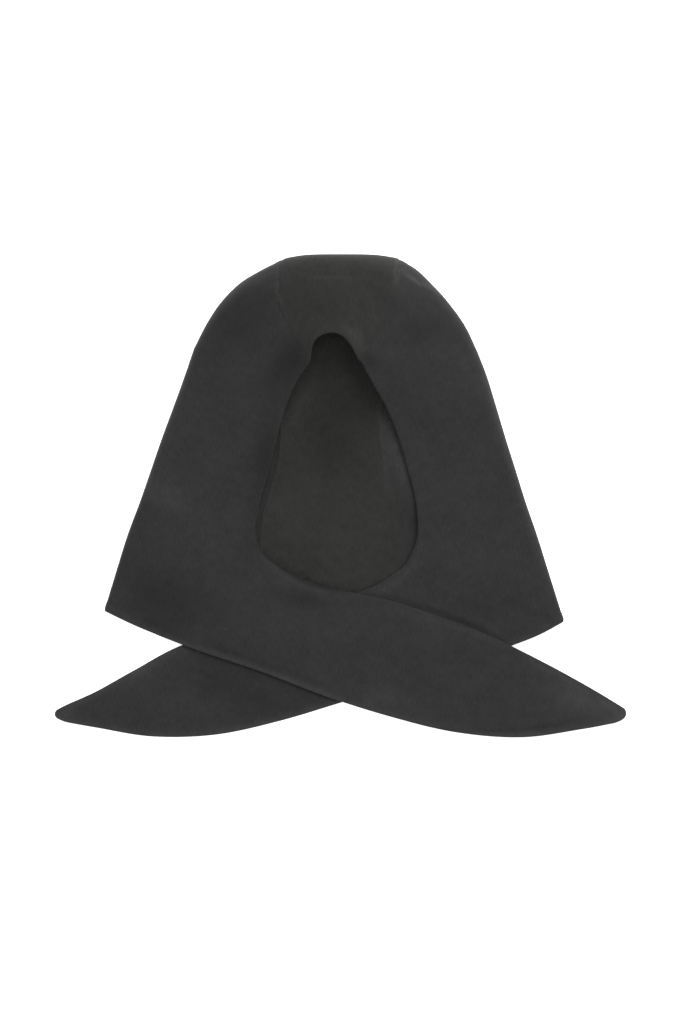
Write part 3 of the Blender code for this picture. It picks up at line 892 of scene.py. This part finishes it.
def tailRelief(plan, sign):
    # waves of a tail, and the camber across it
    points = plan.reshape(-1, 2)
    wide = waves(points, relief["tailWide"], relief["wideSeed"] + sign)
    small = waves(points, relief["small"], relief["smallSeed"] + sign)
    lift = np.maximum(wide + relief["tailWideBase"], 0) * relief["tailWideLift"]
    lift = lift + np.maximum(small, 0) * relief["tailSmall"]
    fromUpper = np.linalg.norm(plan - plan[:, :1], axis=2)
    width = fromUpper[:, -1:]
    camber = 1 - (2 * fromUpper / width - 1) ** 2
    camber = camber * np.minimum(width * relief["camberShare"], lay["camber"])
    return lift.reshape(plan.shape[:2]) + camber


def linearColour(hexCode):
    values = [int(hexCode[place:place + 2], 16) / 255 for place in (1, 3, 5)]
    return [v / 12.92 if v <= 0.04045 else ((v + 0.055) / 1.055) ** 2.4 for v in values] + [1.0]


def addNode(tree, kind, settings=None, inputs=None):
    # one node with its settings; an input is a value or the socket that feeds it
    node = tree.nodes.new(kind)
    for key, value in (settings or {}).items():
        setattr(node, key, value)
    for key, value in (inputs or {}).items():
        if isinstance(value, bpy.types.NodeSocket):
            tree.links.new(value, node.inputs[key])
        else:
            node.inputs[key].default_value = value
    return node


def feltedWool(name, look):
    # Wool jersey, milled until it felts: a matt, slightly hairy face that still shows its fine
    # upright stitch columns, with cloudy tone where the nap lies differently
    material = bpy.data.materials.new(name)
    material.use_nodes = True
    tree = material.node_tree
    shader = tree.nodes["Principled BSDF"]
    place = addNode(tree, "ShaderNodeUVMap", {"uv_map": "cloth"}).outputs["UV"]
    millimetres = addNode(tree, "ShaderNodeMapping", {"vector_type": "POINT"}, {
        "Vector": place, "Scale": (1000, 1000, 1000),
    }).outputs["Vector"]
    stretched = addNode(tree, "ShaderNodeMapping", {"vector_type": "POINT"}, {
        "Vector": millimetres, "Scale": (1 / look["stitchWidth"], 1 / look["stitchLength"], 1),
    }).outputs["Vector"]
    pattern = {}
    tone = None
    for part, vector, scale, detail, roughness in (
        ("cloud", millimetres, 1 / look["cloudSize"], 3.0, 0.55),
        ("patch", millimetres, 1 / look["patchSize"], 2.0, 0.6),
        ("stitch", stretched, 1.0, 1.5, 0.5),
        ("fibre", millimetres, 1 / look["fibreSize"], 2.0, 0.7),
    ):
        pattern[part] = addNode(tree, "ShaderNodeTexNoise", None, {
            "Vector": vector, "Scale": scale, "Detail": detail, "Roughness": roughness,
        }).outputs["Fac"]
        strength = look[part + "Tone"]    # the noise stays between 0.3 and 0.7 or so
        share = addNode(tree, "ShaderNodeMapRange", {"clamp": False}, {
            "Value": pattern[part], "From Min": 0.3, "From Max": 0.7,
            "To Min": -strength, "To Max": strength,
        }).outputs["Result"]
        tone = share if tone is None else addNode(tree, "ShaderNodeMath", {"operation": "ADD"}, {
            0: tone, 1: share,
        }).outputs["Value"]
    # a few pale specks of lint, each small and round in its own cell
    cells = addNode(tree, "ShaderNodeTexVoronoi", {"feature": "F1"}, {
        "Vector": millimetres, "Scale": 1 / look["lintSpacing"], "Randomness": 1.0,
    })
    lint = addNode(tree, "ShaderNodeMapRange", None, {
        "Value": cells.outputs["Distance"], "From Min": look["lintCore"], "From Max": look["lintEdge"],
        "To Min": 1.0, "To Max": 0.0,
    }).outputs["Result"]
    drawnLot = addNode(tree, "ShaderNodeSeparateColor", None, {
        "Color": cells.outputs["Color"],
    }).outputs["Red"]
    chosen = addNode(tree, "ShaderNodeMath", {"operation": "GREATER_THAN"}, {
        0: drawnLot, 1: look["lintLeftOut"],
    }).outputs["Value"]
    # painted light and shade that each point carries, which the colour is multiplied by
    paintedLightAndShade = addNode(tree, "ShaderNodeAttribute", {"attribute_name": "paintedLightAndShade"}).outputs["Fac"]
    for factor in (chosen, look["lintTone"]):
        lint = addNode(tree, "ShaderNodeMath", {"operation": "MULTIPLY"}, {
            0: lint, 1: factor,
        }).outputs["Value"]
    level = tone
    for operation, second in (("ADD", 1.0), ("ADD", lint), ("MULTIPLY", paintedLightAndShade)):
        level = addNode(tree, "ShaderNodeMath", {"operation": operation}, {
            0: level, 1: second,
        }).outputs["Value"]
    colour = addNode(tree, "ShaderNodeVectorMath", {"operation": "SCALE"}, {
        0: linearColour(look["colour"])[:3], "Scale": level,
    }).outputs["Vector"]
    height = 0.0
    for part in ("stitch", "fibre"):
        height = addNode(tree, "ShaderNodeMath", {"operation": "MULTIPLY_ADD"}, {
            0: pattern[part], 1: look[part + "Height"], 2: height,
        }).outputs["Value"]
    bump = addNode(tree, "ShaderNodeBump", None, {
        "Height": height, "Strength": 1.0, "Distance": 0.001,
    }).outputs["Normal"]
    tree.links.new(colour, shader.inputs["Base Color"])
    tree.links.new(bump, shader.inputs["Normal"])
    shader.inputs["Roughness"].default_value = look["roughness"]
    shader.inputs["Specular IOR Level"].default_value = look["specular"]
    shader.inputs["Sheen Weight"].default_value = look["sheen"]
    shader.inputs["Sheen Roughness"].default_value = look["sheenRoughness"]
    shader.inputs["Sheen Tint"].default_value = linearColour(look["sheenColour"])
    return material


# Sizes and heights in millimetres, tones as shares of the colour. The stitch columns of a fine jersey
# are 1.1 mm wide. Its fibres are much finer than a pixel, so they are drawn as coarse as shows at all
panelLook = {
    "colour": "#232423",
    "roughness": 0.92,
    "specular": 0.25,
    "sheenColour": "#b9bab8",
    "sheen": 0.15,
    "sheenRoughness": 0.45,
    "cloudSize": 34.0, "cloudTone": 0.10,
    "patchSize": 9.0, "patchTone": 0.10,
    "stitchWidth": 1.1, "stitchLength": 6.0, "stitchTone": 0.14, "stitchHeight": 0.18,
    "fibreSize": 0.45, "fibreTone": 0.06, "fibreHeight": 0.06,
    "lintSpacing": 34.0, "lintTone": 1.2, "lintCore": 0.012, "lintEdge": 0.03, "lintLeftOut": 0.6,
}
gussetLook = dict(panelLook, colour="#242423")    # the gusset's cut is a trace warmer
panelWool = feltedWool("felted charcoal wool jersey", panelLook)
gussetWool = feltedWool("felted charcoal wool jersey, gusset cut", gussetLook)
print("wool ready")

leftBody, foreheadRow = panelBody(-1, leftCrown, leftFace)
rightBody, foreheadRow = panelBody(1, rightCrown, rightFace)
leftBody[:, :, 2] += panelRelief(leftBody, -1)
rightBody[:, :, 2] += panelRelief(rightBody, 1)
fold = foldColumn()
leftHem = leftBody[-1, fold:]
rightHem = rightBody[-1, fold:]
hemLine = np.concatenate([leftHem, rightHem[::-1]])


def backTop(x, y):
    # height of the hood's back where a tail may lie on it
    inside = hemLine[0, 0] <= x <= hemLine[-1, 0] and y >= np.interp(x, hemLine[:, 0], hemLine[:, 1])
    return hood["wall"] + lay["backClear"] if inside else 0.0


def makeTail(sign, tail, body, supportTop):
    # middle surface of a tail, laid on what is under it
    root = body[-1, :fold + 1]
    plan = tailPlan(sign, tail, root)
    high = layTail(root, plan, supportTop)
    travel = np.linalg.norm(plan.mean(axis=1) - root[:, :2].mean(axis=0), axis=1)
    high = high + tailRelief(plan, sign) * easing(travel / relief["rootFade"])[:, None]
    return np.concatenate([plan, high[:, :, None]], axis=2)


rightTail = makeTail(1, underTail, rightBody, backTop)
rightHood = panelSheet("right_hood", rightBody, rightTail, foreheadRow, panelWool)
laid = BVHTree.FromPolygons(
    [v.co.copy() for v in rightHood.data.vertices],
    [tuple(f.vertices) for f in rightHood.data.polygons],
)


def underTopTail(x, y):
    # height of what the top tail lies on, which is the other tail or the back
    hit = laid.ray_cast(Vector((x, y, 1.0)), Vector((0, 0, -1)))
    high = hit[0].z if hit[0] is not None else 0.0
    return max(high, backTop(x, y))


leftTail = makeTail(-1, topTail, leftBody, underTopTail)
leftHood = panelSheet("left_hood", leftBody, leftTail, foreheadRow, panelWool)
crownGusset = gussetSheet("crown_gusset", leftBody, rightBody, foreheadRow, gussetWool)

# The middle of the outline goes where the solids have theirs
pieces = [leftHood, rightHood, crownGusset]
corners = np.concatenate([np.array([v.co for v in piece.data.vertices]) for piece in pieces])
cadMiddle = (np.array(cadBox[0]) + np.array(cadBox[1])) / 2
shift = cadMiddle[:2] - (corners.min(axis=0) + corners.max(axis=0))[:2] / 2
for piece in pieces:
    for vertex in piece.data.vertices:
        vertex.co.x += shift[0]
        vertex.co.y += shift[1]
print("moved across and up by", [round(float(way) * 1000, 2) for way in shift], "mm")


for piece, node, slotName in (
    (leftHood, "left_panel", "panel_wool"),
    (rightHood, "right_panel", "panel_wool"),
    (crownGusset, "gusset", "gusset_wool"),
):
    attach(piece, "root")
    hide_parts(node)
    clothArea = sum(face.area for face in piece.data.polygons) / 2    # the outer and the inner face
    print(piece.name, "cloth area", round(clothArea, 4))

# Plain pale floor of matt white paper, which glows a little so that its shadows stay faint
ground = {"size": 6, "level": -0.0003, "grey": 0.88, "roughness": 0.9, "specular": 0.2, "glow": 0.75}
bpy.ops.mesh.primitive_plane_add(size=ground["size"], location=(0, 0, ground["level"]))
floor = bpy.context.object
floor.name = "floor"
floor.select_set(False)
paper = bpy.data.materials.new("white paper floor")
paper.use_nodes = True
paperShader = paper.node_tree.nodes["Principled BSDF"]
paperShader.inputs["Base Color"].default_value = (*[ground["grey"]] * 3, 1)
paperShader.inputs["Roughness"].default_value = ground["roughness"]
paperShader.inputs["Specular IOR Level"].default_value = ground["specular"]
paperShader.inputs["Emission Color"].default_value = (1, 1, 1, 1)
paperShader.inputs["Emission Strength"].default_value = ground["glow"]
floor.data.materials.append(paper)

# Soft studio light: an even room and one large lamp high at the upper right
studio = {"room": 0.85, "key": 70.0, "keyPlace": (0.85, 1.55, 2.3), "keySize": 2.0}
world = bpy.data.worlds.new("studio room")
bpy.context.scene.world = world
world.use_nodes = True
roomLight = world.node_tree.nodes["Background"]
roomLight.inputs["Color"].default_value = (1, 1, 1, 1)
roomLight.inputs["Strength"].default_value = studio["room"]
keyLamp = bpy.data.lights.new("key softbox", "AREA")
keyLamp.energy = studio["key"]
keyLamp.size = studio["keySize"]
key = bpy.data.objects.new("key softbox", keyLamp)
bpy.context.scene.collection.objects.link(key)
key.location = studio["keyPlace"]
key.rotation_euler = (-Vector(studio["keyPlace"])).to_track_quat("-Z", "Y").to_euler()

# Camera straight above, as in the photo. The picture is 1020.5 of the hood's pixels high, which is
# 0.969 m, just above the surface
view = {
    "lens": 200.0,
    "sensor": 36.0,
    "rows": 1020.5,
    "middle": (0.0005, -0.0147),
    "level": 0.004,
    "far": 50,
}
cameraData = bpy.data.cameras.new("camera above")
cameraData.lens = view["lens"]
cameraData.sensor_width = view["sensor"]
cameraData.sensor_height = view["sensor"]
cameraData.sensor_fit = "AUTO"
camera = bpy.data.objects.new("camera above", cameraData)
bpy.context.scene.collection.objects.link(camera)
distance = view["rows"] * hood["metresPerPixel"] * view["lens"] / view["sensor"]
camera.location = (*view["middle"], view["level"] + distance)
cameraData.clip_end = view["far"]
bpy.context.scene.camera = camera
shown = bpy.context.scene.view_settings
shown.view_transform = "Standard"
shown.look = "None"
shown.exposure = 0.0
shown.gamma = 1.0
